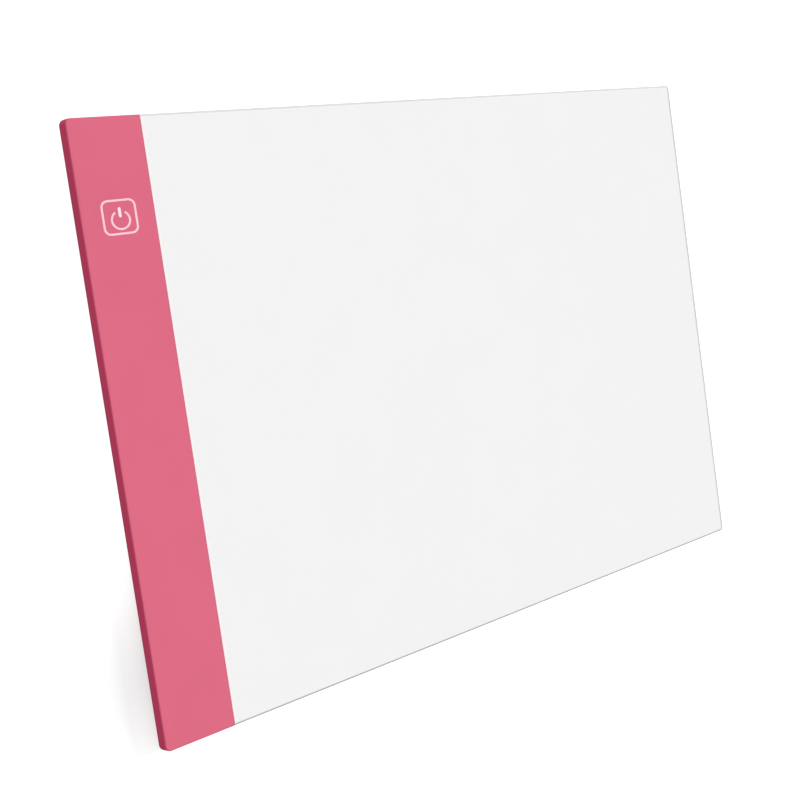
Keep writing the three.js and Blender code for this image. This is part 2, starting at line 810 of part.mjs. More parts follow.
const lightBar = new THREE.Group();
pad.add(lightBar);
const barLow = floorTop + ledBoardSlack;
const barHigh = coverUnder - ledBoardSlack;
const bar = blockGeometry(ledBoardLeft, ledBack, -guideHalf, guideHalf, barLow, barHigh);
piece(lightBar, "led_board", bar, whiteBoard);
piece(lightBar, "led_board_tape", makeLedBoardTape(), adhesive);
const lamp = lampGeometry();
const ledPitch = (2 * guideHalf - 2 * ledEndMargin) / (ledCount - 1);
for (let i = 0; i < ledCount; i += 1) {
  const name = `led_${String(i + 1).padStart(2, "0")}`;
  const y = (i - (ledCount - 1) / 2) * ledPitch;
  piece(lightBar, name, lamp, lampWhite, ledBack, y, guideMiddle);
}

const controls = new THREE.Group();
pad.add(controls);
piece(controls, "control_board", makeControlBoard(), greenBoard);
const electrode = blockGeometry(
  -electrodeHalf, electrodeHalf, -electrodeHalf, electrodeHalf, boardTop, coverUnder,
);
piece(controls, "touch_electrode", electrode, greyFoam, keyX, keyY);

const onBoard = new THREE.Group();
onBoard.position.set(socketX, keyY - electrodeHalf - firstPartGap, boardTop);
controls.add(onBoard);
piece(onBoard, "touch_chip", chipGeometry(3), blackPlastic);
piece(onBoard, "led_driver", chipGeometry(2), blackPlastic, 0, -driverRow * partSpacing);
const capacitor = passiveGeometry(capacitorLength, capacitorWidth, partHeight);
piece(onBoard, "driver_capacitor", capacitor, ceramic, 0, -capacitorRow * partSpacing);
const resistor = passiveGeometry(resistorLength, resistorWidth, resistorHeight);
for (let i = 0; i < resistorCount; i += 1) {
  const y = -resistorRow * partSpacing - i * resistorSpacing;
  piece(onBoard, `resistor_${i + 1}`, resistor, blackPlastic, -resistorOffset, y);
}

const socket = new THREE.Group();
socket.position.set(socketX, mouthY, socketMiddle);
controls.add(socket);
piece(socket, "usb_shell", makeSocketShell(), steel);
piece(socket, "usb_insulator", makeSocketInsulator(), blackPlastic);
const contactMiddle = (-socketLength + socketBlockDepth - socketTongueSetback - contactSetback) / 2;
for (let i = 0; i < contactCount; i += 1) {
  const x = (i - (contactCount - 1) / 2) * contactPitch;
  const z = socketTongueLift - socketTongueThickness / 2 - contactThickness / 2;
  piece(socket, `usb_contact_${i + 1}`, contactGeometry(), gold, x, contactMiddle, z);
}

piece(controls, "lead_red", leadGeometry(1), redLead);
piece(controls, "lead_black", leadGeometry(-1), blackLead);

export default pad;
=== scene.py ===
"""A slim edge-lit tracing pad, lying on its feet with the light surface up."""

from math import cos, pi, radians, sin

import bmesh
import bpy
from mathutils import Matrix, Vector


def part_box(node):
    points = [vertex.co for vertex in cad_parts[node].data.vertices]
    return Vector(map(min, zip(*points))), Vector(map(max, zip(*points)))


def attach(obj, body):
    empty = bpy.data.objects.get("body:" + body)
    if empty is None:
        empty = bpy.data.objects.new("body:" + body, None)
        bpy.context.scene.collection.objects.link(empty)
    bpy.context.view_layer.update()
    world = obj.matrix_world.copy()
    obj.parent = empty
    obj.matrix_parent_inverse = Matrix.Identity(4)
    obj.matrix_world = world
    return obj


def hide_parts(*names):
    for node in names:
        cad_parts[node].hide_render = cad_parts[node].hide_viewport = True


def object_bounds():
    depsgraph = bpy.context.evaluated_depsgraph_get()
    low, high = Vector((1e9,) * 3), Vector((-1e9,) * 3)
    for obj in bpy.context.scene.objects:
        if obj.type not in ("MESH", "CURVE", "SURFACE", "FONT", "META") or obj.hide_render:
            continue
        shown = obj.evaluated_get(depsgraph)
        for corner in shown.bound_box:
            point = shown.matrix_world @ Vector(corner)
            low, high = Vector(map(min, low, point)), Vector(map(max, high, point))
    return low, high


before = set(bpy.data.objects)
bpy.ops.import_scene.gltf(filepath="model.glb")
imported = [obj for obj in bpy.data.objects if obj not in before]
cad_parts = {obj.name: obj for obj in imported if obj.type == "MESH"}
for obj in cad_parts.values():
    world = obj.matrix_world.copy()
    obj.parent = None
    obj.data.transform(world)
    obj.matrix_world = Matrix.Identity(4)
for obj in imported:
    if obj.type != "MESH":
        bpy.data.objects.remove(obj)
solid_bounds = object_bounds()

MM = 0.001
TINY = 1e-6

# How meshes are made and shaded
CORNER_STEPS = 12
EDGE_STEPS = 6
TURN_STEPS = 72
BREAK_STEPS = 2
FACING = 0.99
OVERSHOOT = 1 * MM
BREAK_ABOVE = radians(40)
SHARP_ABOVE = radians(35)
SHADING_WEIGHT = 80

# Housing
CORNER = 1.2 * MM
STRIP_CORNER = 1.5 * MM
STRIP_EDGE_RUN = 0.4 * MM
STRIP_EDGE_DROP = 0.22 * MM
PLATE_EDGE_RUN = 0.7 * MM
PLATE_EDGE_DROP = 0.3 * MM
BACK_EDGE = 1.1 * MM
SKIN = 0.5 * MM
COVER_WALL = 1.2 * MM
FLOOR = 0.7 * MM
FRAME_WALL = 1.2 * MM
LAP = 0.1 * MM
COVER_BREAK = 0.3 * MM
TRAY_BREAK = 0.1 * MM
# Width of the painted highlight along the plate's seam with the strip
PLATE_HIGHLIGHT_WIDTH = 0.65 * MM
# Width of the band of painted shade along the plate's far edge
FAR_SHADE_BAND = 1.15 * MM
TONGUE = 0.4 * MM
TONGUE_LENGTH = 2.4 * MM
# Faces leaning more than this are the eased border, in painted shade, and those leaning towards the near
# edge get deeper painted shade
BORDER_LEAN = radians(4)

# Where the strip's face pink meets the painted shade of its outer side, in from its outer side and down
# from its face
SIDE_SHADE_ENDS = 0.15 * MM
FACE_TONE_STARTS = 1.3 * MM
SIDE_SHADE_TOP = 0.14 * MM
FACE_TONE_LOW = 0.02 * MM

# Feet
FOOT_INSET = 15 * MM
FOOT_RADIUS = 4.5 * MM
FOOT_FIT = 0.15 * MM
FOOT_RECESS = 0.2 * MM
FOOT_EDGE = 0.35 * MM
FOOT_CUP = 0.2 * MM
FOOT_RING = 1.6 * MM

# Power socket
PORT_SIDE = 0.25 * MM
PORT_GAP = 0.1 * MM
PORT_CORNER = 0.5 * MM
SOCKET_WALL = 0.3 * MM
SOCKET_BEVEL_RUN = 1.05 * MM
SOCKET_BEVEL_RISE = 0.95 * MM
SOCKET_ROUND = 0.45 * MM
SOCKET_BREAK = 0.08 * MM
SOCKET_WIDTH = 7.5 * MM

# Printed power symbol, placed in from the strip's outer side and down from the pad's upper edge
SYMBOL_LINE = 0.49 * MM
SYMBOL_STRETCH = 1.2
OUTLINE_SIDE = 8.3 * MM
OUTLINE_ROUND = 1.7 * MM
OUTLINE_IN = 10.77 * MM
OUTLINE_DOWN = 23.53 * MM
RING_ACROSS = 4.74 * MM
RING_GAP = radians(64)
RING_IN = 10.97 * MM
RING_DOWN = 24.25 * MM
STROKE_WIDTH = 0.67 * MM
STROKE_ROUND = 0.45 * STROKE_WIDTH
STROKE_TOP = 21.26 * MM
STROKE_LOW = 23.63 * MM
STROKE_IN = 10.93 * MM
INK = 0.015 * MM

# Colours of the outside finishes
PINK = (0.662, 0.131, 0.207)
# Painted shade on the strip's outer long side
SHADED_SIDE_PINK = (0.77, 0.0735, 0.176)
OPAL = (0.813, 0.813, 0.813)
# Painted highlight along the plate's seam with the strip, tinted pink like light off the cover
OPAL_PAINTED_HIGHLIGHT = (0.91, 0.81, 0.825)
# Painted shade: the plate's eased border, the band along its far edge and the faces leaning towards its
# near edge, greys darker than the sheet
BORDER_PAINTED_SHADE = (0.64, 0.64, 0.64)
FAR_BAND_PAINTED_SHADE = (0.55, 0.55, 0.55)
NEAR_BORDER_PAINTED_SHADE = (0.46, 0.46, 0.46)
FINE_INK = (0.92, 0.56, 0.64)
BROAD_INK = (0.92, 0.73, 0.80)
WHITE = (0.80, 0.80, 0.79)

# Textures, with their scales in bumps a metre
NOISE_LOW = 0.3
NOISE_HIGH = 0.7
NOISE_DETAIL = 3
SHADE_LOW = 0.35
SHADE_HIGH = 0.65
FLOW_SCALE = 60
FLOW_SHARE = 0.015
SPARK_SCALE = 4200
SPARK_DEPTH = 0.02 * MM
SPARK_GLOSSIER = 0.04
SPARK_DULLER = 0.05
ROLLED_SCALE = 900
ROLLED_DETAIL = 4
ROLLED_STRETCH = (12, 1, 12)
ROLLED_DEPTH = 0.01 * MM
ROLLED_RELIEF = 0.15
ROLLED_SHARE = 0.05
ROLLED_GLOSSIER = 0.06
ROLLED_DULLER = 0.08
TRACK_SCALE = 260
TRACK_WIDTH = 0.08
TRACK_DEPTH = 0.02 * MM
DOT_SCALE = 900
DOT_SCATTER = 0.15
DOT_DEPTH = 0.03 * MM

# Camera at the photograph's viewing angle
CAMERA_PLACE = (-0.32411, 0.0362, 0.31403)
CAMERA_AIM = (0.69159, -0.0975, -0.71568)
CAMERA_UP = (0.16888, 0.98521, 0.02897)
CAMERA_LENS = 71.3
CAMERA_SENSOR = 36
CAMERA_NEAR = 0.01
CAMERA_FAR = 20

# Studio
FLOOR_REACH = 12
BACKDROP_HEIGHT = 6
BACKDROP_STEPS = 96
FLOOR_SQUARES = 8
FLOOR_TONE = 0.4
FLOOR_SCALE = 3
FLOOR_DETAIL = 2
# The floor's glow dips round a point by the pad's near left corner: painted shade, under which the key's
# shadow shows
GLOW_LEAST = 0.583
GLOW_MOST = 0.95
GLOW_IN = 7 * MM
GLOW_UP = 17 * MM
GLOW_REACH = 45 * MM
LIGHT_ABOVE = 0.955
LIGHT_BELOW = 0.18
LIGHT_LEAN = radians(40)
LIGHT_LOW_SHARE = -0.6
SUN_SOFTNESS = radians(22)
KEY_LIGHT = 2.3
KEY_HEIGHT_ANGLE = radians(28)
KEY_TURN = radians(8)
FILL_LIGHT = 0.8
FILL_HEIGHT_ANGLE = radians(4)
FILL_TURN = radians(-80)


def place_camera():
    """The photograph's camera, fitted to the pad's corners and edges."""
    data = bpy.data.cameras.new("camera")
    data.lens = CAMERA_LENS
    data.sensor_width = CAMERA_SENSOR
    data.clip_start = CAMERA_NEAR
    data.clip_end = CAMERA_FAR
    camera = bpy.data.objects.new("camera", data)
    aim = Vector(CAMERA_AIM).normalized()
    right = aim.cross(Vector(CAMERA_UP)).normalized()
    up = right.cross(aim)
    turn = Matrix((right, up, -aim)).transposed().to_4x4()
    camera.matrix_world = Matrix.Translation(CAMERA_PLACE) @ turn
    bpy.context.collection.objects.link(camera)
    bpy.context.scene.camera = camera


place_camera()

# Places taken from the frame
shell_low, shell_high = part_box("back_shell")
socket_low, socket_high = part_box("usb_shell")
cover_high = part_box("strip_cover")[1]
plate_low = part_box("front_plate")[0]
body_low = Vector((solid_bounds[0].x, solid_bounds[0].y, shell_low.z))
body_high = solid_bounds[1].copy()
plate_left = plate_low.x + TONGUE_LENGTH
socket_x = (socket_low.x + socket_high.x) / 2


# Materials

def material(name, colour, roughness, metallic=0.0, ior=1.5):
    """A new material, its nodes and its shader, which holds the values that are even all over."""
    made = bpy.data.materials.new(name)
    made.use_nodes = True
    shader = made.node_tree.nodes["Principled BSDF"]
    shader.inputs["Base Color"].default_value = (*colour, 1)
    shader.inputs["Roughness"].default_value = roughness
    shader.inputs["Metallic"].default_value = metallic
    shader.inputs["IOR"].default_value = ior
    return made, made.node_tree, shader


def noise(tree, scale, detail, stretch=(1, 1, 1)):
    """Noise on the piece's own coordinates, with its scale in bumps a metre."""
    place = tree.nodes.new("ShaderNodeTexCoord")
    turn = tree.nodes.new("ShaderNodeMapping")
    turn.inputs["Scale"].default_value = stretch
    pattern = tree.nodes.new("ShaderNodeTexNoise")
    pattern.inputs["Scale"].default_value = scale
    pattern.inputs["Detail"].default_value = detail
    tree.links.new(place.outputs["Object"], turn.inputs["Vector"])
    tree.links.new(turn.outputs["Vector"], pattern.inputs["Vector"])
    return pattern.outputs["Fac"]


def spread(tree, value, low, high):
    """A pattern's value spread between two numbers."""
    span = tree.nodes.new("ShaderNodeMapRange")
    span.inputs["From Min"].default_value = NOISE_LOW
    span.inputs["From Max"].default_value = NOISE_HIGH
    span.inputs["To Min"].default_value = low
    span.inputs["To Max"].default_value = high
    tree.links.new(value, span.inputs["Value"])
    return span.outputs["Result"]


def smooth_step(tree, value, low, high):
    """A share that rises softly from 0 to 1 as a value passes from a low to a high one."""
    step = tree.nodes.new("ShaderNodeMapRange")
    step.interpolation_type = "SMOOTHSTEP"
    step.inputs["From Min"].default_value = low
    step.inputs["From Max"].default_value = high
    tree.links.new(value, step.inputs["Value"])
    return step.outputs["Result"]


def mottled(tree, value, first, second):
    """Colour between two near shades."""
    ramp = tree.nodes.new("ShaderNodeValToRGB")
    stops = ramp.color_ramp.elements
    stops[0].position = SHADE_LOW
    stops[1].position = SHADE_HIGH
    stops[0].color = (*first, 1)
    stops[1].color = (*second, 1)
    tree.links.new(value, ramp.inputs["Fac"])
    return ramp.outputs["Color"]


def tint(tree, shader, value, first, second):
    """Gives the surface a colour between two near shades."""
    tree.links.new(mottled(tree, value, first, second), shader.inputs["Base Color"])


def grain(tree, shader, value, strength, depth):
    """Fine relief on the surface."""
    bump = tree.nodes.new("ShaderNodeBump")
    bump.inputs["Strength"].default_value = strength
    bump.inputs["Distance"].default_value = depth
    tree.links.new(value, bump.inputs["Height"])
    tree.links.new(bump.outputs["Normal"], shader.inputs["Normal"])


def shades(colour, share):
    """Two shades a little darker and lighter than a colour."""
    return [tuple(c * (1 - share) for c in colour), tuple(c * (1 + share) for c in colour)]


def moulded(name, colour, roughness, texture=0.12, share=FLOW_SHARE, gloss=0.5):
    """Moulded plastic with a fine spark-eroded texture and faint flow in its colour."""
    made, tree, shader = material(name, colour, roughness)
    shader.inputs["Specular IOR Level"].default_value = gloss
    tint(tree, shader, noise(tree, FLOW_SCALE, NOISE_DETAIL), *shades(colour, share))
    fine = noise(tree, SPARK_SCALE, NOISE_DETAIL)
    gloss_range = spread(tree, fine, roughness - SPARK_GLOSSIER, roughness + SPARK_DULLER)
    tree.links.new(gloss_range, shader.inputs["Roughness"])
    grain(tree, shader, fine, texture, SPARK_DEPTH)
    return made


def pink_moulding_with_painted_shade():
    """Pink plastic for the strip, with painted shade: a deeper pink down the outer long side, where that
    side is in shade.
    """
    made = moulded("pink_abs_painted_shade", PINK, 0.6, gloss=0.2)
    tree = made.node_tree
    shader = tree.nodes["Principled BSDF"]
    face = shader.inputs["Base Color"].links[0].from_socket
    # The deeper pink on the outer side is painted shade, blended into the face's pink by height and by
    # distance in from the side.
    side = mottled(tree, noise(tree, FLOW_SCALE, NOISE_DETAIL), *shades(SHADED_SIDE_PINK, FLOW_SHARE))
    place = tree.nodes.new("ShaderNodeTexCoord")
    axes = tree.nodes.new("ShaderNodeSeparateXYZ")
    tree.links.new(place.outputs["Object"], axes.inputs["Vector"])
    left, front = body_low.x, body_high.z
    inwards = smooth_step(tree, axes.outputs["X"], left + SIDE_SHADE_ENDS, left + FACE_TONE_STARTS)
    upwards = smooth_step(tree, axes.outputs["Z"], front - SIDE_SHADE_TOP, front - FACE_TONE_LOW)
    share = tree.nodes.new("ShaderNodeMath")
    share.operation = "MAXIMUM"
    tree.links.new(inwards, share.inputs[0])
    tree.links.new(upwards, share.inputs[1])
    blend = tree.nodes.new("ShaderNodeMix")
    blend.data_type = "RGBA"
    lower, upper = [socket for socket in blend.inputs if socket.type == "RGBA"]
    blended = [socket for socket in blend.outputs if socket.type == "RGBA"][0]
    tree.links.new(share.outputs["Value"], blend.inputs["Factor"])
    tree.links.new(side, lower)
    tree.links.new(face, upper)
    tree.links.new(blended, shader.inputs["Base Color"])
    return made


pink_abs_painted_shade = pink_moulding_with_painted_shade()
white_abs = moulded("white_abs", WHITE, 0.5)
opal_acrylic = moulded("opal_acrylic", OPAL, 0.6, 0.04, 0.003, gloss=0.25)
opal_painted_highlight = moulded("opal_painted_highlight", OPAL_PAINTED_HIGHLIGHT, 0.5, 0.04, 0.003, gloss=0.25)
border_painted_shade = moulded("border_painted_shade", BORDER_PAINTED_SHADE, 0.5, 0.1, 0.02, gloss=0.1)
far_band_painted_shade = moulded("far_band_painted_shade", FAR_BAND_PAINTED_SHADE, 0.5, 0.1, 0.02, gloss=0.05)
near_border_painted_shade = moulded("near_border_painted_shade", NEAR_BORDER_PAINTED_SHADE, 0.5, 0.1, 0.02, gloss=0.05)
grey_silicone = moulded("grey_silicone", (0.27, 0.28, 0.29), 0.8, 0.3, 0.05)
fine_ink = moulded("fine_ink", FINE_INK, 0.5, 0.2, 0.02, gloss=0.2)
broad_ink = moulded("broad_ink", BROAD_INK, 0.5, 0.2, 0.02, gloss=0.2)
black_moulding = moulded("black_moulding", (0.012, 0.012, 0.013), 0.45, 0.2, 0.1)
white_film = moulded("white_film", (0.86, 0.86, 0.86), 0.4, 0.05, 0.005)
milky_tape = moulded("milky_tape", (0.7, 0.68, 0.6), 0.6, 0.2, 0.03)
lamp_white = moulded("lamp_white", (0.82, 0.74, 0.38), 0.4, 0.1, 0.03)
white_mask = moulded("white_mask", (0.82, 0.82, 0.78), 0.4, 0.1, 0.02)
grey_foam = moulded("grey_foam", (0.1, 0.105, 0.11), 0.95, 0.8, 0.2)
fired_ceramic = moulded("fired_ceramic", (0.42, 0.25, 0.12), 0.5, 0.2, 0.08)
red_sleeve = moulded("red_sleeve", (0.45, 0.02, 0.02), 0.4, 0.1, 0.04)
black_sleeve = moulded("black_sleeve", (0.015, 0.015, 0.015), 0.4, 0.1, 0.1)


def stamped(name, colour, roughness):
    """Rolled sheet metal with faint lines along its length."""
    made, tree, shader = material(name, colour, roughness, metallic=1.0)
    lines = noise(tree, ROLLED_SCALE, ROLLED_DETAIL, ROLLED_STRETCH)
    gloss_range = spread(tree, lines, roughness - ROLLED_GLOSSIER, roughness + ROLLED_DULLER)
    tree.links.new(gloss_range, shader.inputs["Roughness"])
    tint(tree, shader, lines, *shades(colour, ROLLED_SHARE))
    grain(tree, shader, lines, ROLLED_RELIEF, ROLLED_DEPTH)
    return made


nickel = stamped("nickel", (0.62, 0.62, 0.61), 0.28)
gold_flash = stamped("gold_flash", (0.83, 0.6, 0.25), 0.25)


def solder_mask():
    """Green mask over copper: tracks show as slightly lighter bands."""
    made, tree, shader = material("solder_mask", (0.02, 0.16, 0.07), 0.35)
    place = tree.nodes.new("ShaderNodeTexCoord")
    tracks = tree.nodes.new("ShaderNodeTexBrick")
    tracks.inputs["Scale"].default_value = TRACK_SCALE
    tracks.inputs["Mortar Size"].default_value = TRACK_WIDTH
    tracks.inputs["Color1"].default_value = (0.015, 0.13, 0.055, 1)
    tracks.inputs["Color2"].default_value = (0.02, 0.16, 0.07, 1)
    tracks.inputs["Mortar"].default_value = (0.04, 0.26, 0.12, 1)
    tree.links.new(place.outputs["Object"], tracks.inputs["Vector"])
    tree.links.new(tracks.outputs["Color"], shader.inputs["Base Color"])
    grain(tree, shader, tracks.outputs["Fac"], 0.3, TRACK_DEPTH)
    return made


def clear_guide():
    """Clear acrylic, with the faint dots that let its light out."""
    made, tree, shader = material("clear_guide", (0.9, 0.95, 0.95), 0.05, ior=1.49)
    shader.inputs["Transmission Weight"].default_value = 0.9
    place = tree.nodes.new("ShaderNodeTexCoord")
    dots = tree.nodes.new("ShaderNodeTexVoronoi")
    dots.inputs["Scale"].default_value = DOT_SCALE
    dots.inputs["Randomness"].default_value = DOT_SCATTER
    tree.links.new(place.outputs["Object"], dots.inputs["Vector"])
    grain(tree, shader, dots.outputs["Distance"], 0.3, DOT_DEPTH)
    return made


green_mask = solder_mask()
guide_acrylic = clear_guide()


# Making and finishing pieces

def everything(bm):
    """All of a mesh, for an operator that cuts right through it."""
    return bm.verts[:] + bm.edges[:] + bm.faces[:]


def bevel(bm, geometry, radius, steps, affect="EDGES"):
    """Rounds edges, or with affect VERTICES the corners of a flat outline."""
    bmesh.ops.bevel(
        bm, geom=geometry, offset=radius, offset_type="OFFSET", segments=steps, profile=0.5,
        affect=affect, clamp_overlap=True, material=-1,
    )


def round_rim(bm, level, radius):
    """Rounds the edges that lie flat at a height."""
    rim = [e for e in bm.edges if all(abs(v.co.z - level) < TINY for v in e.verts)]
    bevel(bm, rim, radius, EDGE_STEPS)


def slab(low, high, corner, back_edge=0.0, run=0.0, drop=0.0):
    """A closed block with its upright corners and back edge rounded and its front edge eased."""
    stretch = run / drop if run else 1
    bm = bmesh.new()
    bmesh.ops.create_cube(bm, size=1)
    bmesh.ops.translate(bm, vec=(0, 0, -0.5), verts=bm.verts)
    size = (high.x - low.x, high.y - low.y, (high.z - low.z) * stretch)
    bmesh.ops.scale(bm, vec=size, verts=bm.verts)
    bmesh.ops.translate(bm, vec=((low.x + high.x) / 2, (low.y + high.y) / 2, high.z), verts=bm.verts)
    upright = [e for e in bm.edges if abs(e.verts[0].co.z - e.verts[1].co.z) > TINY]
    bevel(bm, upright, corner, CORNER_STEPS)
    if run:
        round_rim(bm, high.z, run)
        front = Matrix.Translation((0, 0, -high.z))
        bmesh.ops.scale(bm, vec=(1, 1, 1 / stretch), space=front, verts=bm.verts)
    if back_edge:
        round_rim(bm, low.z, back_edge)
    return bm


def score(bm, geometry, point, normal, clear=False):
    """Cuts edges along a plane, and may clear the side that the plane's normal points to."""
    return bmesh.ops.bisect_plane(
        bm, geom=geometry, dist=TINY, plane_co=point, plane_no=normal, clear_outer=clear
    )


def trim(bm, point, normal):
    """Cuts off what lies on the side of a plane that its normal points to, and closes the cut."""
    cut = score(bm, everything(bm), point, normal, True)["geom_cut"]
    bmesh.ops.holes_fill(bm, edges=[e for e in cut if isinstance(e, bmesh.types.BMEdge)], sides=0)


def pull(bm, faces, reach):
    """Draws faces out along a reach."""
    drawn = bmesh.ops.extrude_face_region(bm, geom=faces)["geom"]
    moved = [v for v in drawn if isinstance(v, bmesh.types.BMVert)]
    bmesh.ops.translate(bm, vec=reach, verts=moved)


def mesh_piece(bm, name):
    """A new object at the origin, with the mesh that the operators have shaped."""
    mesh = bpy.data.meshes.new(name)
    bm.to_mesh(mesh)
    bm.free()
    piece = bpy.data.objects.new(name, mesh)
    bpy.context.collection.objects.link(piece)
    return piece


def settle(piece):
    """Turns a piece's modifiers into its mesh."""
    bpy.context.view_layer.update()
    seen = piece.evaluated_get(bpy.context.evaluated_depsgraph_get())
    mesh = bpy.data.meshes.new_from_object(seen)
    piece.modifiers.clear()
    piece.data = mesh


def cut_out(piece, tool_bm):
    """Cuts a solid out of a piece and removes the tool."""
    tool = mesh_piece(tool_bm, "tool")
    cut = piece.modifiers.new("cut", "BOOLEAN")
    cut.operation = "DIFFERENCE"
    cut.solver = "EXACT"
    cut.object = tool
    settle(piece)
    bpy.data.objects.remove(tool)


def finish(piece, surface, slot, *nodes, break_edges=0.0):
    """Gives a piece its finish, its smooth and sharp edges and its place in the frame."""
    piece.data.materials.clear()
    piece.data.materials.append(surface)
    if break_edges:
        broken = piece.modifiers.new("broken_edges", "BEVEL")
        broken.width = break_edges
        broken.segments = BREAK_STEPS
        broken.limit_method = "ANGLE"
        broken.angle_limit = BREAK_ABOVE
        settle(piece)
    piece.data.shade_smooth()
    piece.data.set_sharp_from_angle(angle=SHARP_ABOVE)
    even = piece.modifiers.new("even_shading", "WEIGHTED_NORMAL")
    even.keep_sharp = True
    even.weight = SHADING_WEIGHT
    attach(piece, "root")
    if nodes:
        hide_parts(*nodes)
    return piece


def further_finish(piece, surface, chosen):
    """Gives the chosen faces of a piece another finish."""
    piece.data.materials.append(surface)
    for face in piece.data.polygons:
        if chosen(face):
            face.material_index = len(piece.data.materials) - 1


# Strip cover

def port_cutter(low, high):
    """The rounded opening for the power socket, out through the end wall."""
    bm = bmesh.new()
    bmesh.ops.create_cube(bm, size=1)
    start = socket_low.y - PORT_GAP
    width = 2 * (SOCKET_WIDTH / 2 + PORT_SIDE)
    size = Vector((width, body_high.y + 2 * OVERSHOOT - start, high - low))
    bmesh.ops.scale(bm, vec=size, verts=bm.verts)
    middle = Vector((socket_x, start + size.y / 2, (low + high) / 2))
    bmesh.ops.translate(bm, vec=middle, verts=bm.verts)
    along = [
        e for e in bm.edges
        if abs(e.verts[0].co.y - e.verts[1].co.y) > TINY and e.verts[0].co.z > middle.z
    ]
    bevel(bm, along, PORT_CORNER, EDGE_STEPS)
    return bm


def strip_cover_shell():
    """Pink moulding, hollow and open below and towards the plate, with the notch for the socket."""
    bm = slab(body_low, body_high, STRIP_CORNER, BACK_EDGE, STRIP_EDGE_RUN, STRIP_EDGE_DROP)
    trim(bm, (cover_high.x, 0, 0), (1, 0, 0))
    piece = mesh_piece(bm, "strip_cover_shell")
    past_seam = cover_high.x + 2 * OVERSHOOT
    hollow_low = body_low + Vector((SKIN, SKIN, SKIN))
    hollow_high = Vector((past_seam, body_high.y - SKIN, body_high.z - SKIN))
    cut_out(piece, slab(hollow_low, hollow_high, STRIP_CORNER - SKIN, BACK_EDGE - SKIN))
    mouth_low = body_low + Vector((COVER_WALL, COVER_WALL, -OVERSHOOT))
    mouth_high = Vector((past_seam, body_high.y - COVER_WALL, hollow_low.z + SKIN))
    cut_out(piece, slab(mouth_low, mouth_high, STRIP_CORNER - COVER_WALL))
    cut_out(piece, port_cutter(body_low.z - OVERSHOOT, socket_high.z + PORT_GAP))
    finish(piece, pink_abs_painted_shade, "pink_housing", "strip_cover", break_edges=COVER_BREAK)


strip_cover_shell()


# Front plate

def light_plate():
    """Opal sheet with a tongue along its left edge that tucks under the strip cover."""
    blank_low = Vector((body_low.x, body_low.y, plate_low.z))
    bm = slab(blank_low, body_high, CORNER, 0, PLATE_EDGE_RUN, PLATE_EDGE_DROP)
    trim(bm, (plate_left, 0, 0), (-1, 0, 0))
    bm.normal_update()
    edge = [
        f for f in bm.faces
        if f.normal.x < -FACING and abs(f.calc_center_median().x - plate_left) < TINY
    ]
    region = edge + [e for f in edge for e in f.edges] + [v for f in edge for v in f.verts]
    tongue_half = body_high.y - COVER_WALL - LAP
    # The tongue's outline is scored on the left edge alone
    for point, normal in (
        ((0, 0, plate_low.z + TONGUE), (0, 0, 1)),
        ((0, tongue_half, 0), (0, 1, 0)),
        ((0, -tongue_half, 0), (0, -1, 0)),
    ):
        region = score(bm, list(dict.fromkeys(region)), point, normal)["geom"]
    # Cuts that bound the painted highlight by the seam and the painted shade by the far edge
    highlight_edge, shade_band = plate_left + PLATE_HIGHLIGHT_WIDTH, body_high.x - FAR_SHADE_BAND
    for x in (highlight_edge, shade_band):
        score(bm, everything(bm), (x, 0, 0), (1, 0, 0))
    bm.normal_update()
    tongue = [
        f for f in bm.faces
        if f.normal.x < -FACING
        and f.calc_center_median().z < plate_low.z + TONGUE
        and abs(f.calc_center_median().y) < tongue_half
    ]
    pull(bm, tongue, (-TONGUE_LENGTH, 0, 0))
    bmesh.ops.delete(bm, geom=tongue, context="FACES")
    bmesh.ops.recalc_face_normals(bm, faces=bm.faces)
    piece = finish(mesh_piece(bm, "light_plate"), opal_acrylic, "opal_acrylic", "front_plate")
    front, lean = cos(BORDER_LEAN), sin(BORDER_LEAN)
    # The eased border is painted shade; the far band on the flat top and the faces leaning towards the
    # near edge are deeper painted shade.
    further_finish(piece, border_painted_shade, lambda f: f.normal.z < front)
    further_finish(piece, far_band_painted_shade, lambda f: f.center.x > shade_band)
    further_finish(piece, near_border_painted_shade, lambda f: f.normal.y < -lean)
    # A narrow band of the flat top along the seam is a painted highlight.
    further_finish(piece, opal_painted_highlight, lambda f: f.normal.z > front and f.center.x < highlight_edge)


light_plate()


# Back shell

def foot_places():
    """The middles of the four feet, from the near left one round to the far left one."""
    x = body_high.x - FOOT_INSET
    y = body_high.y - FOOT_INSET
    return [(-x, -y), (x, -y), (x, y), (-x, y)]


def recess_cutter(x, y):
    """The round recess for a foot."""
    bm = bmesh.new()
    radius = FOOT_RADIUS + FOOT_FIT
    depth = FOOT_RECESS + OVERSHOOT
    bmesh.ops.create_cone(
        bm, cap_ends=True, segments=TURN_STEPS, radius1=radius, radius2=radius, depth=depth
    )
    bmesh.ops.translate(bm, vec=(x, y, body_low.z + FOOT_RECESS - depth / 2), verts=bm.verts)
    return bm


def blocks(outlines, low, high):
    """Closed upright blocks on flat outlines."""
    bm = bmesh.new()
    for outline in outlines:
        bm.faces.new([bm.verts.new((x, y, low)) for x, y in outline])
    pull(bm, bm.faces[:], (0, 0, high - low))
    bmesh.ops.recalc_face_normals(bm, faces=bm.faces)
    return bm


